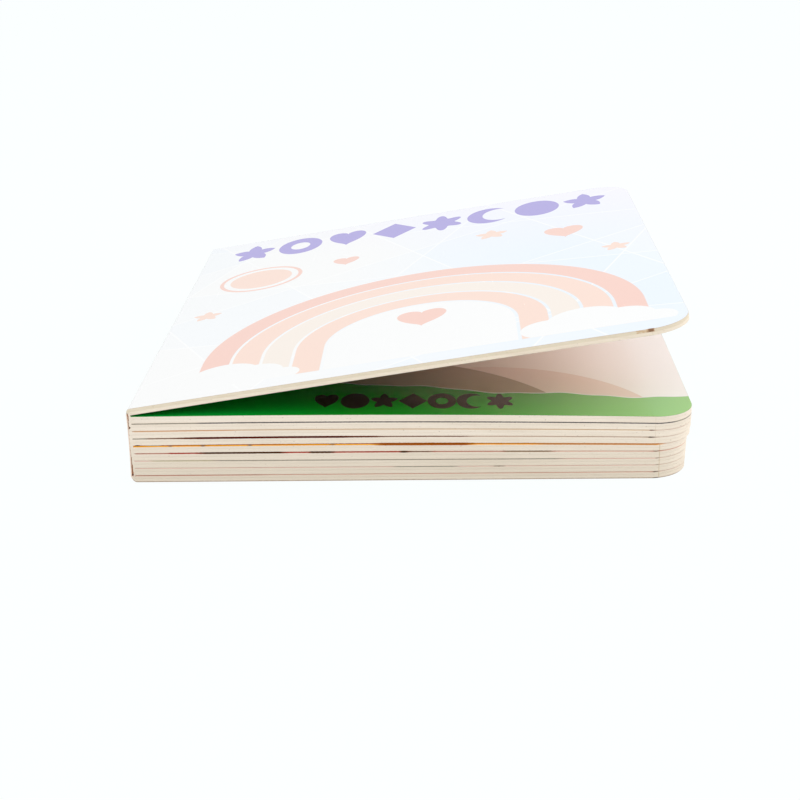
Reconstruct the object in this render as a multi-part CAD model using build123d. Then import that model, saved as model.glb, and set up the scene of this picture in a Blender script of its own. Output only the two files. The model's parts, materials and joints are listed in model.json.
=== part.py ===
# Board book, lying on its back cover with the front cover standing ajar.
#
# Every spread is a printed board folded once at the gutter. Neighbouring spreads are glued
# back to back, so each leaf is two plies of board, and the folds stand in a row down the
# spine with a small notch at the middle of each leaf. One printed wrap goes over the front
# cover, down the spine and under the back cover, and the folds in the middle of the row stand
# out until they all but touch it. The folds take more room than the trimmed edge, so the block
# is a little thicker at the spine, and its upper leaves bow upwards.
#
# X runs from the spine to the fore-edge, Y from the foot to the head and Z up. The origin is
# under the middle of the book, on the surface that it lies on. Sizes are in millimetres.

from build123d import *
from math import asin, cos, degrees, radians, sin
import os

# Trim size and boards
trim_width = 160.0        # outer face of the spine to the fore-edge of the first leaf
trim_height = 180.0       # foot to head
board = 2.0               # thickness of a leaf or a cover, two plies glued back to back
leaf_count = 8            # leaves between the covers
air_at_spine = 0.24       # space between two closed boards at the folds
air_at_fore_edge = 0.04   # and at the fore-edge, where trimming pressed them together
corner_radius = 12.0      # rounded corners at the fore-edge

# Bowing of the boards across the book, as a rise at the middle of the width
leaf_bow = 0.7            # first leaf
bowed_leaves = 6          # how many leaves down the bow fades out
cover_bow = 0.2           # front cover

# Spine
wrap_paper = 0.4          # thickness of the wrap where it crosses the spine
wrap_bow = 0.06           # how far the wrap bows in
wrap_gap = 0.35           # widest space between the wrap and the folds behind it
wrap_touch = 0.03         # space left where the folds stand out to the wrap
wrap_touch_height = 0.6   # where that is, as a share of the wrap's height
fold_thickness = 0.6      # what the scoring leaves of the thinnest ply at the gutter
fold_rounding = 0.5       # outer rounding of a fold, which makes the notch between two folds

# Covers
hinge_clearance = 0.2     # from the outer face of the spine to the end of a cover
front_crease_radius = 0.8
back_crease_radius = 1.5
cover_ajar = 8.58         # degrees that the front cover is raised from level

# Trimming faults that show at the fore-edge
upper_leaf_count = 4      # leaves whose corners were cut together with the front cover
upper_creep = 0.09        # setback of an upper leaf, times the square of its place from the top
lower_setback = 1.1       # setback of the lower leaves and the back cover
lower_die_sink = 0.13     # how far the lower corners were pushed into the cutting die

# Small tear in the upper ply of the front cover, where its foot corner begins
tear_turn = 1.0           # degrees round the corner from the foot edge
tear_width = 2.6
tear_depth = 0.35
tear_height = 0.9

# Heights and places that follow from the sizes above
pitch = board + air_at_spine
fold_face = wrap_paper + wrap_gap
gutter = fold_face + fold_thickness
block_bottom = pitch
block_top = block_bottom + leaf_count * pitch - air_at_spine
front_hinge_height = block_top
back_hinge_height = board + air_at_spine / 2
touch_height = back_hinge_height + wrap_touch_height * (front_hinge_height - back_hinge_height)
fold_bulge = wrap_gap - wrap_touch - wrap_bow
slack = 1.0               # how far a shape runs past where it is cut
past_edge = trim_width + slack
centring = Pos(-trim_width / 2, -trim_height / 2, 0)


def along_the_spine(profile):
    """Carries a profile drawn across the book, in X and Z, from the foot to the head."""
    return extrude(Plane.XZ.offset(-trim_height) * profile, trim_height)


def bowed_line(start, end, bow):
    """A line across the book that rises by the bow at its middle."""
    if bow == 0:
        return Line(start, end)
    return ThreePointArc(start, (start + end) / 2 + Vector(0, bow), end)


def board_section(start, end, bow):
    """Section of one board, whose lower face runs from start to end, in X and Z."""
    lower = bowed_line(start, end, bow)
    upper = bowed_line(start + Vector(0, board), end + Vector(0, board), bow)
    ends = [Line(lower @ 0, upper @ 0), Line(lower @ 1, upper @ 1)]
    return make_face([lower, upper, *ends])


def trim_outline(edge_x, sink):
    """The outline from above that the knife and the corner die leave, open past the spine."""
    centre_x = edge_x - corner_radius
    centre_y = corner_radius - sink
    turn = degrees(asin(centre_y / corner_radius))
    foot = CenterArc((centre_x, centre_y), corner_radius, -turn, turn)
    head = CenterArc((centre_x, trim_height - centre_y), corner_radius, 0, turn)
    foot_edge = Line((-slack, 0), foot @ 0)
    fore_edge = Line(foot @ 1, head @ 0)
    head_edge = Line(head @ 1, (-slack, trim_height))
    return make_face([foot_edge, foot, fore_edge, head, head_edge, Line(head_edge @ 1, foot_edge @ 0)])


def trimmed(section, edge_x, sink):
    """The board of this section, cut to its outline from above."""
    sheet = extrude(Plane.XZ.offset(-trim_height - slack) * section, trim_height + 2 * slack)
    height = sheet.bounding_box()
    start = Pos(0, 0, height.min.Z - slack)
    return sheet & extrude(start * trim_outline(edge_x, sink), height.size.Z + 2 * slack)


def cover_board(edge_x, bottom, bow, crease_radius, crease_on_top, sink):
    """A cover whose outer edge at the spine is rounded by the wrap's crease."""
    section = board_section(Vector(hinge_clearance, bottom), Vector(past_edge, bottom), bow)
    spine_end = section.vertices().group_by(Axis.X)[0].sort_by(Axis.Y)
    crease = spine_end[-1] if crease_on_top else spine_end[0]
    return trimmed(fillet(crease, crease_radius), edge_x, sink)


def tear(edge_x, top):
    """The bite of a small tear: a thin upright disc sunk into the edge at the corner."""
    radius = (tear_width**2 / 4 + tear_depth**2) / (2 * tear_depth)
    reach = corner_radius + radius - tear_depth
    turn = radians(tear_turn)
    centre_x = edge_x - corner_radius + reach * sin(turn)
    centre_y = corner_radius - reach * cos(turn)
    bite = Cylinder(radius, tear_height + slack, align=(Align.CENTER, Align.CENTER, Align.MIN))
    return Pos(centre_x, centre_y, top - tear_height) * bite


def make_front_cover():
    bottom = front_hinge_height + air_at_spine
    closed = cover_board(trim_width, bottom, cover_bow, front_crease_radius, True, 0)
    closed -= tear(trim_width, bottom + board)
    hinge = Axis((0, 0, front_hinge_height), (0, -1, 0))
    return closed.rotate(hinge, cover_ajar)


def make_back_cover():
    edge_x = trim_width - lower_setback
    return cover_board(edge_x, 0, 0, back_crease_radius, False, lower_die_sink)


def make_leaf(place):
    """One leaf, counted from the top: it slopes from its fold to the trimmed edge and bows."""
    upper = place < upper_leaf_count
    edge_x = trim_width - (upper_creep * place**2 if upper else lower_setback)
    boards_below = leaf_count - place
    start = Vector(gutter, boards_below * (board + air_at_spine))
    end = Vector(past_edge, boards_below * (board + air_at_fore_edge))
    bow = leaf_bow * max(0, 1 - (place / bowed_leaves) ** 3)
    return trimmed(board_section(start, end, bow), edge_x, 0 if upper else lower_die_sink)


def make_fold(bottom, top, rounded):
    """One fold: it turns the ply of a leaf back into the ply of the next one."""
    middle = (bottom + top) / 2
    end = front_hinge_height if middle > touch_height else back_hinge_height
    stands_out = 1 - ((middle - touch_height) / (end - touch_height)) ** 2
    face = fold_face - fold_bulge * stands_out
    section = Pos(face, bottom) * Rectangle(gutter - face, top - bottom, align=(Align.MIN, Align.MIN))
    outer = section.vertices().group_by(Axis.X)[0].sort_by(Axis.Y)
    radius = min(fold_rounding, 0.9 * fold_thickness)
    return along_the_spine(fillet([outer[place] for place in rounded], radius))


def make_page_block():
    """The glued spreads: leaves that stand apart by the air, joined by the folds."""
    first_middle = block_top - board / 2
    last_middle = block_bottom + board / 2
    pieces = [make_leaf(place) for place in range(leaf_count)]
    pieces.append(make_fold(first_middle, block_top, [0]))
    for place in range(1, leaf_count):
        top = first_middle - (place - 1) * pitch
        pieces.append(make_fold(top - pitch, top, [0, 1]))
    pieces.append(make_fold(block_bottom, last_middle, [1]))
    return pieces[0].fuse(*pieces[1:])


def make_spine_panel():
    """The wrap across the spine: one strip that bows in a little."""
    bottom, top = back_hinge_height, front_hinge_height
    outer = Spline((0, bottom), (wrap_bow, touch_height), (0, top))
    inner = Spline((wrap_paper, bottom), (wrap_paper + wrap_bow, touch_height), (wrap_paper, top))
    ends = [Line(outer @ 0, inner @ 0), Line(outer @ 1, inner @ 1)]
    return along_the_spine(make_face([outer, inner, *ends]))


parts = {
    "front_cover": make_front_cover(),
    "spine_panel": make_spine_panel(),
    "page_block": make_page_block(),
    "back_cover": make_back_cover(),
}

os.makedirs("parts", exist_ok=True)
for name, shape in parts.items():
    export_step(centring * shape, f"parts/{name}.step")
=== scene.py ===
# Looks of a board book that lies on its back cover with its front cover ajar.
#
# Shapes are worked out in metres from the spine and the foot of the closed book: X to the fore-edge,
# Y to the head and Z up. They are moved to the frame's place when their mesh is made.

import json
from math import cos, pi, radians, sin

import bmesh
import bpy
import numpy as np
from bpy.props import FloatProperty, FloatVectorProperty, IntProperty, PointerProperty
from mathutils import Matrix, Vector


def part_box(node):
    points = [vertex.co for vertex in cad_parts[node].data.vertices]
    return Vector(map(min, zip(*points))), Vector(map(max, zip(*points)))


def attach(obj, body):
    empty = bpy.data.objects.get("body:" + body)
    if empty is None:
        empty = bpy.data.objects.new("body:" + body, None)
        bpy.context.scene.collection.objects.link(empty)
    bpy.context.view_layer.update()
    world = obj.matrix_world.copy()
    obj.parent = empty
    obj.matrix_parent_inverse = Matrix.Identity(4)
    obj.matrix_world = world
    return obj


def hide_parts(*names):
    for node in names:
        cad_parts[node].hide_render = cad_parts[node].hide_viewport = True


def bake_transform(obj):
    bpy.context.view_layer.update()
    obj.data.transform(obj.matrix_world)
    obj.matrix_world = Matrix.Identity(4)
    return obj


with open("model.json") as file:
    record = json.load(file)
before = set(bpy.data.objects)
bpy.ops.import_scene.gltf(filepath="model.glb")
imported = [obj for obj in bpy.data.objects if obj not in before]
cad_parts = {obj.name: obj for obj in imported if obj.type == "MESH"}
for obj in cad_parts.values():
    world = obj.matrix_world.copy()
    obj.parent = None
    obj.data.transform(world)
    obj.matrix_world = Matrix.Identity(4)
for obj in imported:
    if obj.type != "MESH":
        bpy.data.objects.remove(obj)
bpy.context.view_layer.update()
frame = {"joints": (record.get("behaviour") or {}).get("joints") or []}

bl_info = {
    "name": "Board book",
    "version": (1, 0, 0),
    "blender": (4, 5, 0),
    "location": "3D View > Sidebar > Board book",
    "description": "Builds the boards, folds, wrap and prints of a board book round its packed frame",
    "category": "Add Mesh",
}

MM = 0.001
MERGED = 0.001 * MM       # points closer than this become one
SHARP = radians(38)       # faces that meet at more than this keep a sharp edge
LAP = 0.35 * MM           # how far the wrap's panel stops short of each hinge
UNEVEN = 0.04 * MM        # unevenness of torn or folded paper
HAIR = 0.02 * MM          # least space or rounding

# What the frame says: the block, its covers and their hinges
block_low, block_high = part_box("page_block")
back_low, back_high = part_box("back_cover")
hinges = {joint["child"]: joint for joint in frame["joints"]}
spine_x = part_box("spine_panel")[0].x
foot_y = block_low.y
trim_width = block_high.x - spine_x
trim_height = block_high.y - foot_y
board = back_high.z - back_low.z
front_hinge_height = hinges["front_cover"]["pos_m"][2]
back_hinge_height = hinges["back_cover"]["pos_m"][2]
air_at_spine = 2 * (back_hinge_height - board)
air_at_fore_edge = block_low.z - board
lower_setback = trim_width - (back_high.x - spine_x)
cover_ajar = -radians(hinges["front_cover"]["range_deg"][0])


def srgb(red, green, blue):
    """A colour as shaders take it, from the 0 to 255 values that a screen shows."""
    shown = np.array([red, green, blue]) / 255
    return tuple(np.where(shown > 0.04045, ((shown + 0.055) / 1.055) ** 2.4, shown / 12.92).tolist())


def length(name, description, millimetres):
    """A length that a user can change."""
    value = millimetres * MM
    return FloatProperty(name=name, description=description, default=value, unit="LENGTH", precision=5)


def colour(name, description, red, green, blue):
    """A colour that a user can change."""
    value = srgb(red, green, blue)
    return FloatVectorProperty(name=name, description=description, default=value, subtype="COLOR")


def angle(name, description, degrees):
    """An angle that a user can change."""
    return FloatProperty(name=name, description=description, default=radians(degrees), unit="ROTATION")


class BookSizes(bpy.types.PropertyGroup):
    """Sizes that the frame's boxes and hinges don't give."""

    leaf_count: IntProperty(name="Leaves", description="Leaves between the covers", default=8)
    corner_radius: length("Corner radius", "Rounding of the corners at the fore-edge", 12)
    leaf_bow: length("Leaf bow", "Rise of the first leaf at the middle of its width", 0.7)
    bowed_leaves: IntProperty(name="Bowed leaves", description="Leaves down to a flat one", default=6)
    cover_bow: length("Cover bow", "Rise of the front cover at the middle of its width", 0.2)
    seam: length("Seam", "Space left between two closed boards", 0.05)
    edge_rounding: length("Edge rounding", "Rounding that the knife leaves on a cut edge", 0.12)
    ply_groove: length("Ply groove", "Depth of the groove between the two plies of a board", 0.04)
    upper_leaves: IntProperty(name="Upper leaves", description="Leaves cut with the front cover", default=4)
    upper_creep: length("Upper creep", "Setback of an upper leaf, times the cube of its place", 0.012)
    lower_creep: length("Lower creep", "How much further back each lower board stands", 0.09)
    die_sink: length("Die sink", "How far the lower corners were pushed into the die", 0.13)
    gutter: length("Gutter", "From the spine's line to the gutters of the spreads", 1.17)
    fold_face: length("Fold face", "From the spine's line to the folds at the hinges", 0.62)
    fold_bulge: length("Fold bulge", "How far the folds stand out where they touch the wrap", 0.3)
    fold_rounding: length("Fold rounding", "Rounding of the folds at the middle of a leaf", 0.2)
    notch: length("Notch", "Rounding of the folds where the spine is open at a leaf's middle", 0.8)
    notched_leaf: IntProperty(name="Notched leaf", description="Leaf with the open notch", default=2)
    wrap_paper: length("Wrap", "Thickness of the wrap across the spine", 0.3)
    wrap_out: length("Wrap out", "How far the wrap stands out of the spine's line at the hinges", 0.14)
    wrap_touch: FloatProperty(name="Wrap touch", description="Height where the folds touch the wrap",
                              default=0.56, subtype="FACTOR")
    cover_start: length("Cover start", "From the spine's line to the end of a cover", 0.15)
    front_crease: length("Front crease", "Rounding of the front cover at the spine", 1.1)
    back_crease: length("Back crease", "Rounding of the back cover at the spine", 1.5)
    tear_width: length("Tear width", "Width of the tear in the front cover", 2.6)
    tear_depth: length("Tear depth", "Depth of the tear in the front cover", 0.35)
    tear_height: length("Tear height", "Height of the tear in the front cover", 0.9)


class BookColours(bpy.types.PropertyGroup):
    """Colours of the boards, the wrap and the prints."""

    bare_board: colour("Bare board", "Cut edge of a leaf", 240, 228, 212)
    # Painted shade: the cut edge darkens to this tone near the floor
    floor_shaded_board: colour("Soiled board", "Cut edge near the foot of the stack", 221, 210, 192)
    tan_ply: colour("Tan ply", "Cut edge of the cover's outer ply", 227, 214, 190)
    pale_ply: colour("Pale ply", "Cut edge of the cover's inner ply", 238, 225, 205)
    glue: colour("Glue", "Torn board and glue inside the spine", 172, 112, 76)
    wrap_edge: colour("Wrap edge", "Cut edge of the wrap", 240, 218, 200)
    white: colour("White", "White parts of the cover", 245, 245, 245)
    ice: colour("Ice blue", "Facets of the cover", 226, 238, 251)
    lilac: colour("Lilac", "Facets near the head", 243, 239, 250)
    cream: colour("Cream", "Palest arch", 243, 232, 222)
    peach: colour("Peach", "Middle arches, sun and stars", 246, 215, 200)
    blush: colour("Blush", "Outer arch and hearts", 243, 200, 187)
    purple: colour("Purple", "Row of shapes along the head", 154, 141, 214)
    # Painted light: a lighter, bluer green that lifts the shade under the cover near the gutter
    shade_lifted_green: colour("Deep green", "The band near the gutter", 4, 176, 64)
    green: colour("Green", "Band along the foot of the first spread", 4, 152, 24)
    # Painted glare: the band's lighter green towards the open fore-edge
    glare_lime: colour("Lime", "The band near the fore-edge", 172, 214, 120)
    sky: colour("Sky", "Sky of the first spread", 251, 229, 215)
    # Painted light: the sky's paler tone towards the open fore-edge
    glow: colour("Glow", "Sky of the first spread near the fore-edge", 253, 243, 238)
    hill: colour("Hill", "Far hill of the first spread", 186, 156, 130)
    near_hill: colour("Near hill", "Near hill of the first spread", 242, 212, 197)
    dusk: colour("Dusk", "Hill on the inside of the front cover", 108, 90, 76)
    dark: colour("Dark", "Row of dark shapes on the green band", 40, 24, 18)
    rose: colour("Rose", "Band along the foot of the last spread", 204, 132, 116)
    sand: colour("Sand", "Sky of the last spread", 250, 236, 212)


class StageSettings(bpy.types.PropertyGroup):
    """Camera, light and floor."""

    camera_place: FloatVectorProperty(name="Camera", description="Place of the camera",
                                      default=(0.00998, -0.51078, 0.17516), subtype="TRANSLATION",
                                      precision=5)
    yaw: angle("Yaw", "Turn of the camera to the right of +Y", -1.762)
    pitch: angle("Pitch", "Turn of the camera down from level", 19.723)
    roll: angle("Roll", "Turn of the camera about its own axis", -1.122)
    lens: FloatProperty(name="Lens", description="Focal length in mm on a 36 mm sensor", default=72.1)
    dome: FloatProperty(name="Dome", description="Strength of the white dome", default=0.84)
    lamp: FloatProperty(name="Lamp", description="Power of the soft lamp in watts", default=5.0)
    side_lamp: FloatProperty(name="Side lamp", description="Power of the lamp beside the fore-edge in watts",
                             default=2.5)
    backdrop: colour("Backdrop", "White that the camera sees round the book", 251, 255, 255)
    floor_colour: colour("Floor", "Colour of the floor as light meets it", 245, 247, 247)
    floor_glow: FloatProperty(name="Floor glow", description="Share of the floor that takes no shadow",
                              default=0.92, subtype="FACTOR")
    glow_strength: FloatProperty(name="Glow strength", description="Brightness of that share",
                                 default=1.015)


# Tones that wear, dirt and tools give to cut board
DULL = srgb(190, 172, 150)
PALE = srgb(250, 246, 240)
SPECK = srgb(128, 104, 80)
SMUDGE = srgb(200, 184, 164)
DIE_LINE = srgb(200, 180, 146)
SCUFFED = srgb(206, 176, 140)
TORN = srgb(146, 108, 80)

# Pale lines in the prints
FACET_LINE = (0.95, 0.95, 0.95)
BAND_LINE = (0.93, 0.84, 0.82)

# Reach in mm of a print over a strip that it covers, and over one that has none
PRINTED = 2.0
UNPRINTED = -1.0

# Inks as they show on the cut edges: colour, and how much wider than usual their line is. The dark
# ones are partly painted shade of the seams between boards, and their wider lines widen that shade.
INKS_AND_SHADES = {
    "clear": (250, 242, 236, 1), "leaf": (30, 120, 40, 1), "slate": (104, 98, 98, 1),
    "ash": (172, 162, 146, 1), "tan": (222, 176, 138, 1), "dun": (206, 180, 160, 0.9),
    "sand": (222, 194, 160, 0.8), "umber": (140, 104, 84, 1), "chestnut": (112, 58, 40, 1.5),
    "maroon": (92, 28, 16, 1.9), "ochre": (168, 92, 26, 1), "amber": (162, 84, 6, 1.5),
    "yellow": (250, 172, 56, 1), "honey": (204, 138, 74, 1), "red": (180, 72, 56, 1.2),
    "rust": (222, 176, 156, 0.8), "bark": (80, 44, 20, 1.6), "moss": (146, 118, 88, 1.2),
    "olive": (196, 184, 148, 1), "pink": (232, 200, 186, 1), "brick": (200, 144, 126, 1),
    "faint": (226, 204, 188, 0.6), "sepia": (168, 140, 116, 1.1), "soot": (86, 66, 46, 1.3),
}

# Places along the foot edge, in mm from the spine
UPPER_KINK = 148.4        # where the corner die took over from the knife
LOWER_KINK = 149.8        # the same for the lower boards
PAST_CORNER = 172         # where the ink starts again
UPPER_CORNER = (UPPER_KINK, PAST_CORNER)
LOWER_CORNER = (LOWER_KINK, PAST_CORNER)
LONG_SMEAR = (LOWER_KINK - 1.6, LOWER_KINK)      # ink that the knife smeared as it stopped
SHORT_SMEAR = (LOWER_KINK - 1, LOWER_KINK)

# Ink in the gaps, from above the front cover down to under the back cover: ink on the board above, ink on
# the board below, how far each reaches over the cut edge in mm, and stretches of another ink as
# (from, to, ink) in mm from the spine along the foot edge. Stretches with a fourth item are on one board.
# The colours are partly the pages' ink and partly painted shade of the seams; the last row, under the back
# cover, is partly the wrap's print and partly painted shade where the book meets the floor.
GAPS = [
    ("clear", "sepia", 0, 0.05, []),
    ("clear", "leaf", 0.06, 0.05, [(146, UPPER_KINK, "umber")]),
    ("slate", "slate", 0.13, 0.15, [(0, 20, "ash"), (154, PAST_CORNER, "ash")]),
    ("sand", "sand", 0.14, 0.16, [(0, 1.6, "faint"), (1.6, 30, "tan"), (146.8, UPPER_KINK, "umber"),
                                  (*UPPER_CORNER, "faint")]),
    ("umber", "umber", 0.12, 0.15, [(0, 5, "ash"), (14, 71, "chestnut"), (18, 62, "maroon"),
                                    (96, 146.6, "dun"), (146.6, UPPER_KINK, "soot"),
                                    (*UPPER_CORNER, "faint")]),
    ("ochre", "yellow", 0.2, 0.26, [(1.8, 2.8, "bark", "above"), (5, 9, "ash", "above"),
                                    (11.6, 12.2, "umber"), (20.6, 21.8, "umber"), (34, 35, "umber"),
                                    (57, 58, "umber"), (70, 97, "amber"), (116, 150, "honey"),
                                    (150.6, PAST_CORNER, "faint")]),
    ("red", "red", 0.12, 0.15, [(0, 1.8, "faint"), (1.8, 11, "brick"), (20, 44, "bark"), (51, 58, "bark"),
                                (77, 79.4, "bark"), (79.4, 86, "umber"), (86, 106, "brick"),
                                (106, 120, "moss"), (120, LONG_SMEAR[0], "rust"), (*LONG_SMEAR, "umber"),
                                (*LOWER_CORNER, "rust")]),
    ("pink", "pink", 0.11, 0.12, [(6, 24, "olive"), (24, 122, "ash"), (*SHORT_SMEAR, "umber"),
                                  (*LOWER_CORNER, "faint")]),
    ("pink", "pink", 0.09, 0.1, [(75, 93, "ash"), (103, 106, "umber"), (*SHORT_SMEAR, "umber"),
                                 (*LOWER_CORNER, "faint")]),
    ("brick", "brick", 0.11, 0.14, [(38, LONG_SMEAR[0], "rust"), (*LONG_SMEAR, "soot"),
                                    (*LOWER_CORNER, "faint")]),
    ("sepia", "sepia", 0.24, 0.24, [(*LONG_SMEAR, "soot"), (LOWER_KINK + 6, PAST_CORNER, "faint")]),
]


def turned(points, share):
    """Points of the closed book turned about the front hinge by a share of the angle it stands open."""
    swing = cover_ajar * np.asarray(share)
    x = points[..., 0]
    rise = points[..., 2] - front_hinge_height
    return np.stack([
        x * np.cos(swing) - rise * np.sin(swing),
        points[..., 1],
        x * np.sin(swing) + rise * np.cos(swing) + front_hinge_height,
    ], -1)


def make_piece(name, grids, finishes):
    """Makes one closed piece of grids of points that meet along their borders.

    A grid is (points, finish, marks): rows x columns x 3 points, the number of its finish, and the values
    kept at the points by name. Every cell of a grid is one face.
    """
    places, faces, finish_numbers = [], [], []
    first = 0
    for points, finish, _ in grids:
        rows, columns = points.shape[:2]
        numbers = first + np.arange(rows * columns).reshape(rows, columns)
        cells = np.stack([numbers[:-1, :-1], numbers[1:, :-1], numbers[1:, 1:], numbers[:-1, 1:]], -1)
        places.append(points.reshape(-1, 3))
        faces.append(cells.reshape(-1, 4))
        finish_numbers.append(np.full(len(faces[-1]), finish))
        first += rows * columns
    mesh = bpy.data.meshes.new(name)
    corner = np.array([spine_x, foot_y, 0])
    mesh.from_pydata(np.concatenate(places) + corner, [], np.concatenate(faces))
    mesh.polygons.foreach_set("material_index", np.concatenate(finish_numbers))
    for mark in grids[0][2]:
        values = np.concatenate([marks[mark].reshape(points.shape[0] * points.shape[1], -1)
                                 for points, _, marks in grids])
        single = values.shape[1] == 1
        kept = mesh.attributes.new(mark, "FLOAT" if single else "FLOAT_VECTOR", "POINT")
        kept.data.foreach_set("value" if single else "vector", values.astype(np.float32).ravel())
    shell = bmesh.new()
    shell.from_mesh(mesh)
    bmesh.ops.remove_doubles(shell, verts=shell.verts, dist=MERGED)
    bmesh.ops.recalc_face_normals(shell, faces=shell.faces)
    shell.to_mesh(mesh)
    shell.free()
    mesh.shade_smooth()
    mesh.set_sharp_from_angle(angle=SHARP)
    for finish in finishes:
        mesh.materials.append(finish)
    piece = bpy.data.objects.new(name, mesh)
    bpy.context.scene.collection.objects.link(piece)
    return piece


def upper_face(place, x, sizes):
    """Height of a board's upper face at x.

    Place 0 is the first leaf, -1 the front cover and the leaf count the back cover. A leaf's face is a
    straight line from its fold to the trimmed edge plus a bow, b (1 - u u) with u from -1 at the fold to 1
    at the edge, and the bow fades out with the cube of the place.
    """
    across = 2 * x / trim_width - 1
    if place < 0:
        return front_hinge_height + air_at_spine + board + sizes.cover_bow * (1 - across**2)
    below = sizes.leaf_count - place
    share = x / trim_width
    chord = below * (board + air_at_spine * (1 - share) + air_at_fore_edge * share) + board
    bow = sizes.leaf_bow * max(0, 1 - (place / sizes.bowed_leaves) ** 3)
    return chord + bow * (1 - across**2) * (below > 0)


def lower_face(place, x, sizes):
    """Height of a board's lower face: one seam above the next board, or the board's thickness down."""
    if place < 0 or place == sizes.leaf_count:
        return upper_face(place, x, sizes) - board
    return upper_face(place + 1, x, sizes) + sizes.seam


def cut_levels(sizes, extra):
    """Height share and inset of each level of a cut edge, with the extra ones, from the lower face up.

    The lower corner is a quarter circle of the edge rounding, with inset r (1 - sin a) and height
    r (1 - cos a), the groove between the plies is a notch at half height, and the upper half mirrors it.
    """
    turn = np.radians([0, 30, 60, 90])
    height = sizes.edge_rounding * (1 - np.cos(turn)) / board
    inset = sizes.edge_rounding * (1 - np.sin(turn))
    groove = [(0.47, 0), (0.5, sizes.ply_groove), (0.53, 0)]
    levels = [*zip(height, inset), *groove, *((share, 0) for share in extra),
              *zip(1 - height[::-1], inset[::-1])]
    return np.array(levels).T


def outline(place, inset, start, sizes):
    """X and foot Y of the columns of a board whose edge lies an inset inside the trimmed outline.

    The columns are closer together near the crease and near the corner. Round the corner they lie on a
    circle about its centre, x = cx + r sin a and y = cy - r cos a, from where it leaves the foot edge.
    """
    upper = place < sizes.upper_leaves
    if upper:
        edge = trim_width - sizes.upper_creep * max(place, 0) ** 3
    else:
        edge = trim_width - lower_setback - sizes.lower_creep * (place - sizes.upper_leaves)
    centre_x = edge - sizes.corner_radius
    centre_y = sizes.corner_radius - (0 if upper else sizes.die_sink)
    radius = sizes.corner_radius - inset
    first = np.arccos(np.clip((centre_y - inset) / radius, -1, 1))
    corner_x = centre_x + radius * np.sin(first)
    at_crease, across, near_corner, round_corner = 8, 140, 16, 44
    crease = sizes.back_crease * (1 - np.cos(np.linspace(0, pi / 2, at_crease))) / trim_width
    near = 1 - 4 * MM / trim_width      # where the columns close up before the corner
    shares = np.concatenate([crease[:-1], np.linspace(crease[-1], near, across)[:-1],
                             np.linspace(near, 1, near_corner)])
    straight = start + (corner_x - start) * shares
    turn = first + (pi / 2 - first) * np.linspace(0, 1, round_corner)[1:]
    x = np.concatenate([straight, centre_x + radius * np.sin(turn)])
    y = np.concatenate([np.full(len(shares), inset), centre_y - radius * np.cos(turn)])
    return x, y


def ragged(size, z, y):
    """An uneven offset of up to about a size: three waves along the spine's height and the book's."""
    z, y = z / MM, y / MM
    waves = np.sin(5.1 * z + 2 * np.sin(0.9 * y)) + np.sin(11.3 * z - 1.7 * y) + np.sin(2.3 * z + 0.4 * y)
    return size * waves / 3


def tear_across(x, sizes):
    """Place across the tear, from -1 at its end near the spine to 1 at the other."""
    middle = trim_width - sizes.corner_radius
    return (x - middle) / (sizes.tear_width / 2)


def tear_share(x, sizes):
    """How far the tear bites at x, from 0 to 1: a ragged arch over its width."""
    across = tear_across(x, sizes)
    return np.clip(1 - across**2, 0, 1) * (0.9 + 0.1 * np.sin(23 * across))


def tear_marks(x, sizes):
    """How much the cut edge is torn at x: fully at the tear, and scuffed for a little before it."""
    scuff_length, scuffed = 2.4 * MM, 0.42
    before = (-1 - tear_across(x, sizes)) * (sizes.tear_width / 2) / scuff_length
    return np.maximum(np.sqrt(tear_share(x, sizes)), scuffed * ((before > -0.2) & (before < 1)))


def ink_and_shade_row(ink):
    """Colour of an ink, partly painted shade of the seams, and how much wider than usual its line is, as one
    row of four.
    """
    red, green, blue, width = INKS_AND_SHADES[ink]
    return (*srgb(red, green, blue), width)


def ink_and_shade_marks(place, x, y, height, sizes):
    """Colour and reach of the ink at the cut edges of a board, which is partly painted shade of the seams.

    The colour goes on round the outline: the place on it is x at the foot edge and a little less than
    x + y further on, and it starts again past the fore-edge. A long stretch comes in more softly.
    """
    inks = np.empty((*x.shape, 4))
    past_foot = np.maximum(y - sizes.corner_radius, 0)
    along = np.mod((x + 0.9 * past_foot) / MM, PAST_CORNER)
    for gap, side, on_this_side in ((place + 1, "below", height > 0.5), (place + 2, "above", height <= 0.5)):
        above, below, reach_above, reach_below, stretches = GAPS[gap]
        ink, reach = (below, reach_below) if side == "below" else (above, reach_above)
        line = np.full((*x.shape, 4), ink_and_shade_row(ink))
        for start, end, other, *only in stretches:
            if only in ([], [side]):
                soft = np.clip((end - start) / 8, 0.6, 4)
                share = np.clip((along - start) / soft + 0.5, 0, 1)
                share *= np.clip((end - along) / soft + 0.5, 0, 1)
                line += (ink_and_shade_row(other) - line) * share[..., None]
        line[..., 3] *= reach
        inks[on_this_side] = line[on_this_side]
    return inks[..., :3], inks[..., 3]


def picker(points, marks):
    """A function that picks a grid out of points in three directions, with the marks kept at them."""
    def part(finish, *keys):
        return points[keys], finish, {name: values[keys] for name, values in marks.items()}
    return part


def crease_drop(x, crease, sizes):
    """How far a cover's outer face falls away at its end: a quarter circle, r (1 - root of 1 - a a)."""
    away = np.clip((crease - (x - sizes.cover_start)) / crease, 0, 1)
    return crease * (1 - np.sqrt(1 - away**2))


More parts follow.
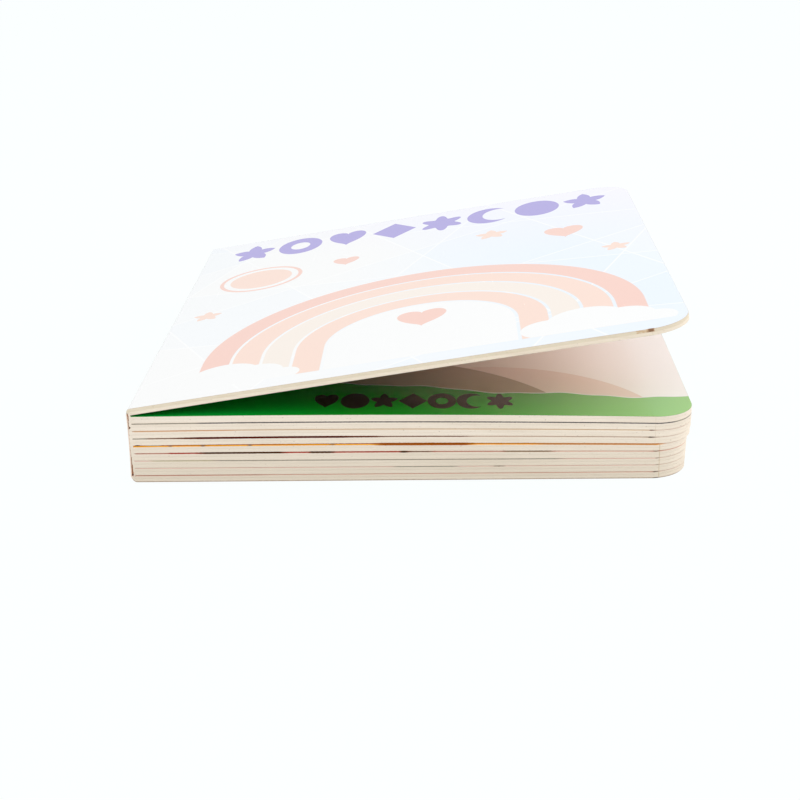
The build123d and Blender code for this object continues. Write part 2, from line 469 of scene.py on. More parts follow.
def board_grids(place, sizes, tears=False):
    """The upper face, lower face, cut edge and spine end of one board, as grids that close up.

    Every point lies at a share of the way from the lower face to the upper one, on the outline of its
    inset. The grids are picked from points in levels, columns and rows. The finish is 0 for the upper
    half and 1 for the lower half.
    """
    cover = place < 0 or place == sizes.leaf_count
    tear_foot = 1 - sizes.tear_height / board
    heights, insets = cut_levels(sizes, (tear_foot,) if tears else ())
    torn_levels = (heights > tear_foot - 0.01) & tears
    starts = np.full(len(heights), sizes.cover_start if cover else sizes.gutter)
    if place < 0:
        starts[heights <= 0.5] = sizes.gutter
    rows = np.concatenate([[0, 0.002], np.linspace(0.02, 0.98, 20), [0.998, 1]])

    def level_points(level):
        """Points of a whole level, columns x rows."""
        x, foot = outline(place, insets[level], starts[level], sizes)
        head = trim_height - foot
        if torn_levels[level]:
            foot = foot + sizes.tear_depth * tear_share(x, sizes)
        lower, upper = lower_face(place, x, sizes), upper_face(place, x, sizes)
        if place < 0:
            upper = upper - crease_drop(x, sizes.front_crease, sizes)
        elif cover:
            lower = lower + crease_drop(x, sizes.back_crease, sizes)
        z = lower + heights[level] * (upper - lower)
        points = np.empty((len(x), len(rows), 3))
        points[..., 0] = x[:, None]
        points[..., 1] = foot[:, None] + (head - foot)[:, None] * rows
        points[..., 2] = z[:, None]
        return points

    levels = np.stack([level_points(level) for level in range(len(heights))])
    share = np.broadcast_to(heights[:, None, None], levels.shape[:3])
    depth = np.minimum(share, 1 - share) * board / MM
    worn = np.zeros(share.shape)
    worn_levels = torn_levels & (heights < 0.99)
    worn[..., 0] = worn_levels[:, None] * tear_marks(levels[:, :, 0, 0], sizes)
    kink = np.full(share.shape, UPPER_KINK if place < sizes.upper_leaves else LOWER_KINK)
    # Ink at the cut edges, partly painted shade of the seams between boards
    colours, reaches = ink_and_shade_marks(place, levels[..., 0], levels[..., 1], share, sizes)
    marks = {"sheet": np.stack([levels[..., 0], levels[..., 1], share * board], -1) / MM,
             "depth": depth, "reach": reaches, "ink": colours, "worn": worn, "kink": kink}
    if place < 0:
        levels = turned(levels, 1)

    part = picker(levels, marks)

    def round_edge(first, last, finish):
        """The cut edge round the foot, the fore-edge and the head, between two levels."""
        columns, row_count = levels.shape[1], len(rows)
        path = [(column, 0) for column in range(columns)]
        path += [(columns - 1, row) for row in range(1, row_count)]
        path += [(column, row_count - 1) for column in range(columns - 2, -1, -1)]
        column, row = np.array(path).T
        return part(finish, slice(first, last + 1), column, row)

    middle = int(np.argmin(np.abs(heights - 0.5)))
    last = len(heights) - 1
    return [
        part(0, last),
        part(1, 0),
        round_edge(0, middle, 1),
        round_edge(middle, last, 0),
        part(1, slice(0, middle + 1), 0),
        part(0, slice(middle, last + 1), 0),
    ]


def strip_grids(lines, finishes):
    """A strip that runs from the foot to the head, as grids that close up.

    Each line is the section's X, its Z, how far it stops short of the foot and the head at every point,
    and how uneven it is, from the outer face to the inner one. The finishes are those of the outer face,
    of each layer between two lines, and of the inner face.
    """
    steps = 72
    shares = np.linspace(0, 1, steps)
    surfaces = []
    for x, z, inset, unevenness in lines:
        x, z, inset = (np.broadcast_to(values, np.shape(lines[0][1]))[:, None] for values in (x, z, inset))
        y = inset + (trim_height - 2 * inset) * shares
        z = z + 0 * y
        surfaces.append(np.stack([x + ragged(unevenness, z, y), y, z], -1))
    layers = np.stack(surfaces)
    part = picker(layers, {"sheet": layers / MM, "depth": np.ones(layers.shape[:3])})
    grids = [part(finishes[0], 0), part(finishes[-1], len(lines) - 1)]
    every = slice(None)
    for layer in range(len(lines) - 1):
        both = slice(layer, layer + 2)
        finish = finishes[1 + layer]
        grids += [part(finish, both, every, 0), part(finish, both, every, -1),
                  part(finish, both, 0), part(finish, both, -1)]
    return grids


def stand_out(z, sizes):
    """1 at the height where the folds touch the wrap and 0 at the hinges: 1 - q q, with q from 0 to 1."""
    touch = back_hinge_height + sizes.wrap_touch * (front_hinge_height - back_hinge_height)
    reach = np.where(z > touch, front_hinge_height - touch, touch - back_hinge_height)
    return np.clip(1 - ((z - touch) / reach) ** 2, 0, 1)


def wrap_line(z, sizes):
    """X of the wrap's outer face, which stands out towards both hinges."""
    return -sizes.wrap_out * (1 - stand_out(z, sizes))


def fold_line(z, sizes):
    """X of the folds' outer faces: they stand out to the wrap, and lean out a little towards the top."""
    slope = 0.012
    lean = slope * (z - (front_hinge_height + back_hinge_height) / 2)
    return sizes.fold_face - sizes.fold_bulge * stand_out(z, sizes) - lean


def fold_heights(sizes):
    """Heights of the folds' ends, from the first leaf's upper face down through the leaves' middles."""
    x = sizes.gutter
    middles = [(upper_face(place, x, sizes) + lower_face(place, x, sizes)) / 2
               for place in range(sizes.leaf_count)]
    return [upper_face(0, x, sizes), *middles, lower_face(sizes.leaf_count - 1, x, sizes)]


def bar_lines(low, high, low_rounding, high_rounding, sizes):
    """The two lines of a fold's section: the rounded outer face and the gutter.

    A rounded corner is a quarter circle, x = f + r (1 - cos a) and z = end +- r (1 - sin a).
    """
    turn = np.linspace(0, pi / 2, 6)
    face = fold_line((low + high) / 2, sizes)
    z = np.concatenate([low + low_rounding * (1 - np.sin(turn[::-1])),
                        high - high_rounding * (1 - np.sin(turn))])
    x = np.concatenate([face + low_rounding * (1 - np.cos(turn[::-1])),
                        face + high_rounding * (1 - np.cos(turn))])
    return [(x, z, 0, 0.05 * MM), (sizes.gutter, z, 0, 0)]


def lining_recess(z):
    """How far the torn lining stops short of the foot and the head: a squared sine up the spine."""
    return (0.05 + 0.1 * np.sin(z / MM * 3.1) ** 2) * MM


def smooth(values, low, high):
    """0 below low and 1 above high, with no kink between them: 3 s s - 2 s s s."""
    share = np.clip((values - low) / (high - low), 0, 1)
    return share * share * (3 - 2 * share)


class Field:
    """A number that changes over a surface. Sums and products of fields make Math nodes."""

    def __init__(self, tree, socket):
        self.tree = tree
        self.socket = socket

    def math(self, operation, *others, clamp=False):
        """What a Math node makes of the field and the others."""
        node = self.tree.nodes.new("ShaderNodeMath")
        node.operation = operation
        node.use_clamp = clamp
        for place, value in enumerate((self, *others)):
            feed(self.tree, value, node.inputs[place])
        return Field(self.tree, node.outputs[0])

    def __add__(self, other):
        return self.math("ADD", other)

    def __sub__(self, other):
        return self.math("SUBTRACT", other)

    def __mul__(self, other):
        return self.math("MULTIPLY", other)

    def __truediv__(self, other):
        return self.math("DIVIDE", other)

    def __neg__(self):
        return self * -1

    def __abs__(self):
        return self.math("ABSOLUTE")

    def least(self, other):
        """The lower of two fields, which joins the shapes that they stand for."""
        return self.math("MINIMUM", other)

    def most(self, other):
        """The higher of two fields, which keeps what two shapes share."""
        return self.math("MAXIMUM", other)

    def inside(self, soft=0.25):
        """1 where the field is below 0 and 0 where it is above, over a soft border."""
        return self.math("MULTIPLY_ADD", -1 / soft, 0.5, clamp=True)

    def between(self, low, high):
        """0 at the low value and 1 at the high one, straight between them."""
        return self.math("MULTIPLY_ADD", 1 / (high - low), -low / (high - low), clamp=True)


def hypot(x, y):
    """The length of the line to (x, y)."""
    return (x * x + y * y).math("SQRT")


def feed(tree, value, socket):
    """Links a field or an output to a socket, or sets a number, vector or colour on it."""
    if isinstance(value, Field):
        value = value.socket
    if isinstance(value, bpy.types.NodeSocket):
        tree.links.new(value, socket)
    elif socket.type == "RGBA":
        socket.default_value = (*value, 1)
    else:
        socket.default_value = value


def fill(tree, node, values):
    """The node, with its inputs linked or set by name."""
    for name, value in values.items():
        feed(tree, value, node.inputs[name])
    return node


def new_node(tree, kind, **values):
    """A node of a kind, with its inputs linked or set by name."""
    return fill(tree, tree.nodes.new(kind), values)


def attribute(tree, name, output="Vector"):
    """The output of a value that is kept at the piece's points."""
    node = tree.nodes.new("ShaderNodeAttribute")
    node.attribute_name = name
    return node.outputs[output]


def mark_field(tree, name):
    """A number that is kept at the piece's points, as a field."""
    return Field(tree, attribute(tree, name, "Fac"))


def split_vector(tree, vector):
    """The three fields that a vector is made of."""
    node = new_node(tree, "ShaderNodeSeparateXYZ", Vector=vector)
    return [Field(tree, output) for output in node.outputs]


def object_place(tree):
    """Object coordinates, in metres."""
    return tree.nodes.new("ShaderNodeTexCoord").outputs["Object"]


def sheet_fields(tree):
    """X and Y on the sheet, in mm from the spine and the foot."""
    return split_vector(tree, attribute(tree, "sheet"))[:2]


def height_field(tree):
    """Height above the ground in mm."""
    return split_vector(tree, object_place(tree))[2] / MM


def noise(tree, scale, detail):
    """Noise over Object coordinates, stretched by a scale per mm along X, Y and Z."""
    stretched = new_node(tree, "ShaderNodeMapping", Vector=object_place(tree), Scale=Vector(scale) / MM)
    texture = new_node(tree, "ShaderNodeTexNoise", Vector=stretched.outputs["Vector"], Scale=1.0,
                       Detail=detail)
    return Field(tree, texture.outputs[0])


def paint(tree, under, over, mask):
    """The colour under, with the colour over laid on it where the mask is 1."""
    node = tree.nodes.new("ShaderNodeMix")
    node.data_type = "RGBA"
    for value, place in ((mask, 0), (under, 6), (over, 7)):
        feed(tree, value, node.inputs[place])
    return node.outputs[2]


def new_group(name, inputs, outputs):
    """An empty node group with inputs and outputs of named kinds, and its two end nodes."""
    tree = bpy.data.node_groups.new(name, "ShaderNodeTree")
    for direction, sockets in (("INPUT", inputs), ("OUTPUT", outputs)):
        for socket, kind in sockets.items():
            tree.interface.new_socket(name=socket, in_out=direction, socket_type=f"NodeSocket{kind}")
    return tree, tree.nodes.new("NodeGroupInput"), tree.nodes.new("NodeGroupOutput")


def cut_board_group():
    """Cut board beside its print: streaks along the plies, short fibres, specks, painted shade near the
    floor and a frayed ink border.
    """
    if "Cut board" in bpy.data.node_groups:
        return bpy.data.node_groups["Cut board"]
    tree, given, result = new_group(
        "Cut board",
        {"Bare": "Color", "Soiled": "Color", "Print": "Color",
         "Low": "Float", "Depth": "Float", "Reach": "Float"},
        {"Color": "Color", "Roughness": "Float", "Height": "Float"},
    )
    streaks = noise(tree, (0.05, 0.05, 3.4), 3)
    fibres = noise(tree, (1.6, 1.6, 6.0), 3)
    specks = noise(tree, (1.1, 1.1, 2.2), 1)
    smudges = noise(tree, (0.03, 0.03, 0.15), 2)
    bare = given.outputs["Bare"]
    for tone, mask in (
        (DULL, streaks.between(0.5, 0.85) * 0.26 + fibres.between(0.5, 0.9) * 0.25),
        (PALE, streaks.between(0.5, 0.2) * 0.25),
        (SPECK, specks.between(0.7, 0.76) * 0.4),
        (SMUDGE, smudges.between(0.5, 0.8) * 0.3),
        # Painted shade near the floor, where the low mask is up
        (given.outputs["Soiled"], given.outputs["Low"]),
    ):
        bare = paint(tree, bare, tone, mask)
    depth = Field(tree, given.outputs["Depth"])
    fray = (fibres - 0.5) * 0.16 * depth.between(0, 0.08)
    printed = (depth - Field(tree, given.outputs["Reach"]) + fray).inside(0.06)
    fill(tree, result, {
        "Color": paint(tree, bare, given.outputs["Print"], printed),
        "Roughness": printed * -0.62 + 0.82,
        "Height": (streaks * 0.6 + fibres * 0.6) * (printed * -1 + 1),
    })
    return tree


def lamination_group():
    """Gloss film over a print: a faint unevenness of the board under it, and small dull scuffs."""
    if "Lamination" in bpy.data.node_groups:
        return bpy.data.node_groups["Lamination"]
    tree, given, result = new_group("Lamination", {"Roughness": "Float"},
                                    {"Roughness": "Float", "Height": "Float"})
    scuffs = noise(tree, (0.9, 0.07, 0.9), 3).between(0.62, 0.8)
    fill(tree, result, {
        "Roughness": Field(tree, given.outputs["Roughness"]) + scuffs * 0.08,
        "Height": noise(tree, (0.22, 0.22, 0.22), 2),
    })
    return tree


def place_group(tree, group, **values):
    """A group's node in a tree, with its inputs linked or set by name."""
    node = tree.nodes.new("ShaderNodeGroup")
    node.node_tree = group
    return fill(tree, node, values)


def new_material(name):
    """A material, its node tree and its shader."""
    material = bpy.data.materials.new(name)
    material.use_nodes = True
    return material, material.node_tree, material.node_tree.nodes["Principled BSDF"]


def add_bump(tree, shader, height, strength, distance):
    """Lets a height from 0 to 1 stand for up to a distance on a shader's surface."""
    bump = new_node(tree, "ShaderNodeBump", Strength=strength, Distance=distance, Height=height)
    tree.links.new(bump.outputs["Normal"], shader.inputs["Normal"])


def board_material(name, print_of, bare, reach=None, gloss=0.5):
    """A laminated print that ends at a bare cut edge. print_of(tree, colours, x, y) gives its colour.

    Without a reach, the ink on the cut edge, partly painted shade of the seams, and how far it reaches are
    those kept at the points. The cut edge has painted shade below 14 mm above the ground, which is weaker
    past where the corner die took over from the knife; the die leaves a tan line there. Boards that stay
    closed show only their dull cut edge, so they have less gloss.
    """
    colours = bpy.context.scene.book_colours
    material, tree, shader = new_material(name)
    x, y = sheet_fields(tree)
    depth = mark_field(tree, "depth")
    printed = print_of(tree, colours, x, y)
    if reach is None:
        # The ink kept at the points is partly painted shade of the seams
        reach = mark_field(tree, "reach")
        printed = paint(tree, printed, attribute(tree, "ink"), depth.between(0.005, 0.03))
    # Painted shade: below 14 mm the cut edge darkens towards the floor, less past the corner die's line
    die_cut = x.between(LOWER_KINK, LOWER_KINK + 9)
    low = height_field(tree).between(14, 1.5) * (die_cut * -0.7 + 1) * 0.78
    cut = place_group(tree, cut_board_group(), Bare=bare, Soiled=colours.floor_shaded_board, Print=printed,
                      Low=low, Depth=depth, Reach=reach)
    film = place_group(tree, lamination_group(), Roughness=cut.outputs["Roughness"])
    kink = mark_field(tree, "kink")
    on_kink = (abs(x - kink) - 0.08).inside(0.16) * kink.between(UPPER_KINK - 0.5, LOWER_KINK)
    torn = mark_field(tree, "worn") + (noise(tree, (1.4, 1.4, 2.4), 3) - 0.5) * 0.9
    base = cut.outputs["Color"]
    for tone, mask in (
        (DIE_LINE, on_kink * depth.between(0.05, 0.15)),
        (SCUFFED, torn.between(0.3, 0.46)),
        (TORN, torn.between(0.6, 0.85)),
    ):
        base = paint(tree, base, tone, mask)
    fill(tree, shader, {"Base Color": base, "Roughness": film.outputs["Roughness"],
                        "Specular IOR Level": gloss})
    height = Field(tree, cut.outputs["Height"]) + Field(tree, film.outputs["Height"]) * 0.4
    add_bump(tree, shader, height, strength=0.5, distance=0.06 * MM)
    return material


def disc(x, y, at_x, at_y, radius):
    """Distance outside a disc."""
    return hypot(x - at_x, y - at_y) - radius


def diamond(x, y, at_x, at_y, radius):
    """Distance outside a square that stands on its corner."""
    return (abs(x - at_x) + abs(y - at_y) - radius) * 0.7


def hoop(x, y, at_x, at_y, radius):
    """Distance outside a ring whose hole is 0.44 of its radius."""
    return abs(disc(x, y, at_x, at_y, radius * 0.72)) - radius * 0.28


def star(x, y, at_x, at_y, radius):
    """Distance outside a star: its radius halves straight from each of five points to the dents."""
    x, y = x - at_x, y - at_y
    turn = x.math("ARCTAN2", y) * (5 / (2 * pi))
    return hypot(x, y) - (turn.math("PINGPONG", 0.5) * -radius + radius)


def flower(x, y, at_x, at_y, radius):
    """Distance outside a flower: its radius is a cosine of the angle, with six petals."""
    x, y = x - at_x, y - at_y
    wave = (x.math("ARCTAN2", y) * 6).math("COSINE")
    return hypot(x, y) - (wave * (radius * 0.2) + radius * 0.8)


def heart(x, y, at_x, at_y, radius):
    """Distance outside a heart: a disc whose height is lifted by the root of the distance sideways."""
    x, y = x - at_x, y - at_y
    lifted = y * 1.15 - (abs(x) * radius).math("SQRT") * 0.72 + radius * 0.22
    return hypot(x * 1.02, lifted) - radius * 0.86


def crescent(x, y, at_x, at_y, radius):
    """Distance outside a crescent: a disc without a smaller disc."""
    return disc(x, y, at_x, at_y, radius).most(-disc(x, y, at_x + radius * 0.45, at_y, radius * 0.75))


def shape_row(x, y, shapes, first_x, step, middle_y, radius, stretch):
    """Distance outside a row of shapes, each stretched in height."""
    row = None
    for place, shape in enumerate(shapes):
        found = shape(x, (y - middle_y) / stretch, first_x + step * place, 0, radius)
        row = found if row is None else row.least(found)
    return row


def lay_shapes(tree, base, x, y, shapes):
    """A colour with shapes laid on it in turn: the colour, kind, middle and size of each."""
    for tint, shape, at_x, at_y, size in shapes:
        base = paint(tree, base, tint, shape(x, y, at_x, at_y, size).inside())
    return base


def cloud(x, y, at_x, at_y, size):
    """Distance outside a cloud of four discs that stands on a flat foot."""
    puffs = disc(x, y, at_x, at_y, size)
    for away, up, share in ((-0.95, -0.25, 0.66), (0.9, -0.15, 0.74), (1.65, -0.45, 0.45)):
        puffs = puffs.least(disc(x, y, at_x + away * size, at_y + up * size, share * size))
    return puffs.most(-(y - (at_y - 0.75 * size)))


def facets(tree, colours, x, y):
    """White to ice blue and lilac, in facets between fine white lines that cross the whole sheet.

    A family of lines is where x cos a + y sin a is a whole number of spacings, and the facets between
    them take turns in tone.
    """
    tone, lines = None, None
    for degrees, spacing, shift in ((24, 47, 0.35), (78, 58, 0.1), (121, 52, 0.7), (158, 74, 0.45)):
        across = (x * cos(radians(degrees)) + y * sin(radians(degrees))) / spacing + shift
        line = across.math("PINGPONG", 0.5) * spacing - 0.28
        turn = (across.math("FLOOR") * 0.5).math("FRACT") * 2
        lines = line if lines is None else lines.least(line)
        tone = turn if tone is None else tone + turn
    amount = x.between(50, 130) * 0.6 + (tone - 1) * 0.1
    base = paint(tree, colours.white, colours.ice, amount.most(0))
    base = paint(tree, base, colours.lilac, (x * 0.6 + y).between(170, 260) * 0.8)
    return paint(tree, base, FACET_LINE, lines.inside(0.5) * 0.85)


def cover_print(tree, colours, x, y):
    """Facets, an arched rainbow on clouds, a sun, small hearts and stars, and a row of purple shapes."""
    arch_x, arch_y, arch_foot = 84, 30, 8
    sun_x, sun_y = 26, 122
    base = facets(tree, colours, x, y)
    radius = hypot(x - arch_x, (y - arch_y).most(0))
    past_foot = -(y - arch_foot)
    for outer, inner, tint in ((66, 57.5, colours.blush), (56.5, 48, colours.peach),
                               (47, 38.5, colours.cream), (37.5, 29, colours.peach)):
        arch = (radius - outer).most(-(radius - inner)).most(past_foot)
        base = paint(tree, base, tint, arch.inside())
    base = paint(tree, base, colours.white, (radius - 28).most(past_foot).inside())
    base = paint(tree, base, colours.blush, (abs(disc(x, y, sun_x, sun_y, 14)) - 0.7).inside())
    base = lay_shapes(tree, base, x, y, (
        (colours.peach, disc, sun_x, sun_y, 11),
        (colours.white, cloud, 26, 16, 11),
        (colours.white, cloud, 132, 17, 12),
        (colours.white, cloud, 80, 18, 9),
        (colours.blush, heart, 133, 121, 8),
        (colours.blush, heart, 56, 128, 5.5),
        (colours.blush, heart, 84, 44, 9),
        (colours.peach, star, 108, 133, 6),
        (colours.peach, star, 148, 92, 5),
        (colours.peach, star, 12, 84, 5),
    ))
    shapes = (star, hoop, heart, diamond, flower, crescent, disc, star)
    row = shape_row(x, y, shapes, first_x=19, step=17.8, middle_y=162, radius=8.2, stretch=1.35)
    return paint(tree, base, colours.purple, row.inside())


def back_print(tree, colours, x, y):
    """The facets of the front cover with one small heart in a ring."""
    middle_x, middle_y = 80, 92
    base = facets(tree, colours, x, y)
    base = paint(tree, base, colours.peach, (abs(disc(x, y, middle_x, middle_y, 15)) - 1).inside())
    return paint(tree, base, colours.blush, heart(x, y, middle_x, middle_y, 9).inside())


def spine_print(tree, colours, x, y):
    """The facets, with five purple shapes up the spine."""
    shapes = (star, heart, hoop, heart, star)
    row = shape_row(y, height_field(tree), shapes, first_x=50, step=20, middle_y=11.5, radius=4, stretch=1)
    return paint(tree, facets(tree, colours, x, y), colours.purple, row.inside())


def spread_print(side):
    """One page of the first spread: sky, hills and a green band with a wavy edge along the foot."""
    def page(tree, colours, x, y):
        band_height = 16.6
        landscapes = {
            "right": ((colours.near_hill, disc, 104, -6, 48), (colours.hill, disc, 62, -18, 68),
                      (colours.blush, heart, 118, 128, 12)),
            "left": ((colours.cream, disc, 102, 124, 22), (colours.white, cloud, 104, 88, 13),
                     (colours.near_hill, disc, 96, -12, 60), (colours.dusk, disc, 30, 6, 66)),
        }
        # Painted light: the sky turns to the paler glow towards the open fore-edge
        sky = paint(tree, colours.sky, colours.glow, x.between(95, 158))
        base = lay_shapes(tree, sky, x, y, landscapes[side])
        ripple = (x * 0.16 + 0.6).math("SINE") * 1.1 + (x * 0.47).math("SINE") * 0.35
        slope = x.between(150, 62)
        edge = y - (slope * slope * 11 + ripple + band_height)
        base = paint(tree, base, BAND_LINE, (edge - 0.5).inside(0.3))
        # Painted light near the gutter: a lighter, bluer green lifts the shade under the cover
        band = paint(tree, colours.shade_lifted_green, colours.green, x.between(14, 64))
        # Painted glare: lime towards the open fore-edge
        band = paint(tree, band, colours.glare_lime, x.between(96, 162) * 0.75)
        base = paint(tree, base, band, edge.inside())
        if side == "right":
            shapes = (heart, disc, star, diamond, hoop, crescent, flower)
            row = shape_row(x, y, shapes, first_x=55.5, step=8.3, middle_y=11.5, radius=4.1, stretch=1.55)
            base = paint(tree, base, colours.dark, row.inside())
        return base
    return page


def last_spread_print(tree, colours, x, y):
    """A page of the last spread: a sand sky with dots over a rose band with a wavy edge."""
    spacing, band_height = 24, 30
    dot_x, dot_y = ((place / spacing).math("FRACT") * spacing for place in (x, y))
    dots = disc(dot_x, dot_y, spacing / 2, spacing / 2, 3)
    base = paint(tree, colours.sand, colours.peach, dots.inside())
    wave = (x * 0.11).math("SINE") * 4
    return paint(tree, base, colours.rose, (y - (wave + band_height)).inside())


def closed_print(tree, colours, x, y):
    """The pages that stay closed: the ink at their edges, partly painted shade of the seams, over the whole
    page.
    """
    return attribute(tree, "ink")


def plain_material(name, tone, roughness, grain):
    """Paper, glue or torn board: one tone broken up by fibres."""
    material, tree, shader = new_material(name)
    fibres = noise(tree, (2.2, 0.5, 2.6), 4)
    shade = tuple(value * (1 - grain) for value in tone)
    fill(tree, shader, {"Base Color": paint(tree, tone, shade, fibres.between(0.35, 0.75)),
                        "Roughness": roughness})
    add_bump(tree, shader, fibres, strength=0.6, distance=0.08 * MM)
    return material


class BOOK_OT_front_cover(bpy.types.Operator):
    """Builds the front cover: two plies, a rounded crease, a torn corner and the printed outer sheet"""

    bl_idname = "board_book.front_cover"
    bl_label = "Front cover"

    def execute(self, context):
        sizes, colours = context.scene.book_sizes, context.scene.book_colours
        finishes = [
            board_material("cover_outside", cover_print, colours.tan_ply),
            board_material("cover_inside", spread_print("left"), colours.pale_ply),
        ]
        piece = make_piece("front_board", board_grids(-1, sizes, tears=True), finishes)
        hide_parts("front_cover")
        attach(piece, "front_cover")
        return {"FINISHED"}


class BOOK_OT_back_cover(bpy.types.Operator):
    """Builds the back cover, whose crease is rounded at the foot of the spine"""

    bl_idname = "board_book.back_cover"
    bl_label = "Back cover"

    def execute(self, context):
        sizes, colours = context.scene.book_sizes, context.scene.book_colours
        finishes = [
            board_material("back_inside", closed_print, colours.bare_board, gloss=0.15),
            board_material("back_outside", back_print, colours.bare_board),
        ]
        piece = make_piece("back_board", board_grids(sizes.leaf_count, sizes), finishes)
        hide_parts("back_cover")
        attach(piece, "back_cover")
        return {"FINISHED"}


class BOOK_OT_leaves(bpy.types.Operator):
    """Builds the leaves, each two plies thick, which slope and bow as in the closed block"""

    bl_idname = "board_book.leaves"
    bl_label = "Leaves"

    def execute(self, context):
        sizes, colours = context.scene.book_sizes, context.scene.book_colours
        closed_page = board_material("closed_page", closed_print, colours.bare_board, gloss=0.15)
        first_page = board_material("first_page", spread_print("right"), colours.bare_board)
        last_page = board_material("last_page", last_spread_print, colours.bare_board)
        for place in range(sizes.leaf_count):
            upper = first_page if place == 0 else closed_page
            lower = last_page if place == sizes.leaf_count - 1 else closed_page
            piece = make_piece(f"leaf_{place + 1}", board_grids(place, sizes), [upper, lower])
            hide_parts("page_block")
            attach(piece, "book_block")
        return {"FINISHED"}


class BOOK_OT_folds(bpy.types.Operator):
    """Builds the folds of the spreads, which stand in a row down the spine"""

    bl_idname = "board_book.folds"
    bl_label = "Folds"

    def execute(self, context):
        sizes, colours = context.scene.book_sizes, context.scene.book_colours
        torn = plain_material("torn_board", colours.glue, roughness=0.9, grain=0.45)
        cut = board_material("fold_board", closed_print, colours.bare_board, UNPRINTED)
        ends = fold_heights(sizes)
        # Rounding between two folds and at both ends of the row, from the top down
        roundings = [HAIR, *[sizes.fold_rounding] * sizes.leaf_count, HAIR]
        roundings[sizes.notched_leaf] = sizes.notch
        for number, (high, low) in enumerate(zip(ends, ends[1:])):
            lines = bar_lines(low, high, roundings[number + 1], roundings[number], sizes)
            piece = make_piece(f"fold_{number + 1}", strip_grids(lines, (0, 1, 1)), [torn, cut])
            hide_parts("page_block")
            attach(piece, "book_block")
        return {"FINISHED"}


class BOOK_OT_spine(bpy.types.Operator):
    """Builds the wrap across the spine, with the torn board and glue behind it"""

    bl_idname = "board_book.spine"
    bl_label = "Spine wrap"

    def execute(self, context):
        sizes, colours = context.scene.book_sizes, context.scene.book_colours
        outside = board_material("spine_outside", spine_print, colours.wrap_edge, PRINTED)
        paper = plain_material("wrap_paper", colours.wrap_edge, roughness=0.8, grain=0.12)
        glue = plain_material("spine_glue", colours.glue, roughness=0.9, grain=0.6)
        z = np.linspace(back_hinge_height + LAP, front_hinge_height - LAP, 120)
        outer, folds = wrap_line(z, sizes), fold_line(z, sizes)
        inner = outer + sizes.wrap_paper
        lines = [(outer, z, 0, 0), (inner, z, 0, UNEVEN)]
        piece = make_piece("spine_wrap", strip_grids(lines, (0, 1, 1)), [outside, paper])
        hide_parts("spine_panel")
        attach(piece, "book_block")

        recess = lining_recess(z)
        lines = [(inner - 0.06 * MM, z, recess, 0), (folds + 0.12 * MM, z, recess, 0)]
        piece = make_piece("spine_lining", strip_grids(lines, (0, 0, 0)), [glue])
        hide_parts("spine_panel")
        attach(piece, "book_block")
        return {"FINISHED"}


class BOOK_OT_creases(bpy.types.Operator):
    """Builds the wrap at both hinges and the first and last fold, turning the front ones with the cover"""

    bl_idname = "board_book.creases"
    bl_label = "Creases"

    def execute(self, context):
        sizes, colours = context.scene.book_sizes, context.scene.book_colours
        paper, glue, outside, bare = (bpy.data.materials[name] for name in (
            "wrap_paper", "spine_glue", "spine_outside", "fold_board"))
        first_gutter = board_material("first_gutter", spread_print("right"), colours.bare_board, PRINTED)
        last_gutter = board_material("last_gutter", last_spread_print, colours.bare_board, PRINTED)
        front, back = front_hinge_height, back_hinge_height
        cover_foot = front + air_at_spine
        crease_top = cover_foot + board - sizes.front_crease

        def make_bend(name, lines, finishes, materials, body, bend):
            """A strip at a hinge; the front ones are turned to the cover's angle, more towards the cover."""
            grids = strip_grids(lines, finishes)
            if body == "front_cover":
                grids = [(turned(points, smooth(points[..., 2], *bend)), finish, marks)
                         for points, finish, marks in grids]
            piece = make_piece(name, grids, materials)
            start, end = ((spine_x, 0, height) for height in bend)
            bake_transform(piece)
            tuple(start)
            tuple(end)

        def crease_line(z, share):
            """X of the wrap's outer face at a hinge: at the cover's end by a share, else the spine's."""
            on_cover = sizes.cover_start - HAIR
            return on_cover * share + (wrap_line(z, sizes) + 0.01 * MM) * (1 - share)

        def front_line(z):
            """X of the wrap's outer face from the spine up to the front cover's end."""
            return crease_line(z, smooth(z, cover_foot + 0.3 * MM, crease_top))

        z = np.linspace(front - LAP, crease_top, 28)
        outer = front_line(z)
        bend = (front - 0.1 * MM, cover_foot)
        lines = [(outer, z, 0, 0), (outer + sizes.wrap_paper, z, 0, UNEVEN)]
        make_bend("front_crease", lines, (0, 1, 1), [outside, paper], "front_cover", bend)
        z = np.linspace(front - LAP, cover_foot + board / 2, 16)
        recess = lining_recess(z)
        lines = [(front_line(z) + 0.1 * MM, z, recess, 0),
                 (fold_line(z, sizes) + 0.06 * MM, z, recess, 0)]
        make_bend("front_lining", lines, (0, 0, 0), [glue], "front_cover", bend)

        z = np.linspace(back + LAP, sizes.back_crease - 0.4 * MM, 28)
        outer = crease_line(z, 1 - smooth(z, z[-1], back - 0.3 * MM))
        bend = (back + 0.1 * MM, back - 0.15 * MM)
        lines = [(outer, z, 0, 0), (outer + sizes.wrap_paper, z, HAIR, UNEVEN)]
        make_bend("back_crease", lines, (0, 1, 1), [outside, paper], "back_cover", bend)

        for name, body, material, ends, bend in (
            ("first_fold", "front_cover", first_gutter, (front - 0.6 * MM, cover_foot + board / 2),
             (front, cover_foot + 0.1 * MM)),
            ("last_fold", "back_cover", last_gutter, (back + 0.6 * MM, back - 0.6 * MM),
             (back + 0.12 * MM, back - 0.12 * MM)),
        ):
            z = np.linspace(*ends, 24)
            valley = 0.14 * MM * np.exp(-((z - sum(bend) / 2) / (0.2 * MM)) ** 2)
            lines = [(fold_line(z, sizes), z, HAIR, UNEVEN),
                     (sizes.gutter + HAIR - valley, z, HAIR, 0)]
            make_bend(name, lines, (0, 0, 1), [bare, material], body, bend)
        return {"FINISHED"}


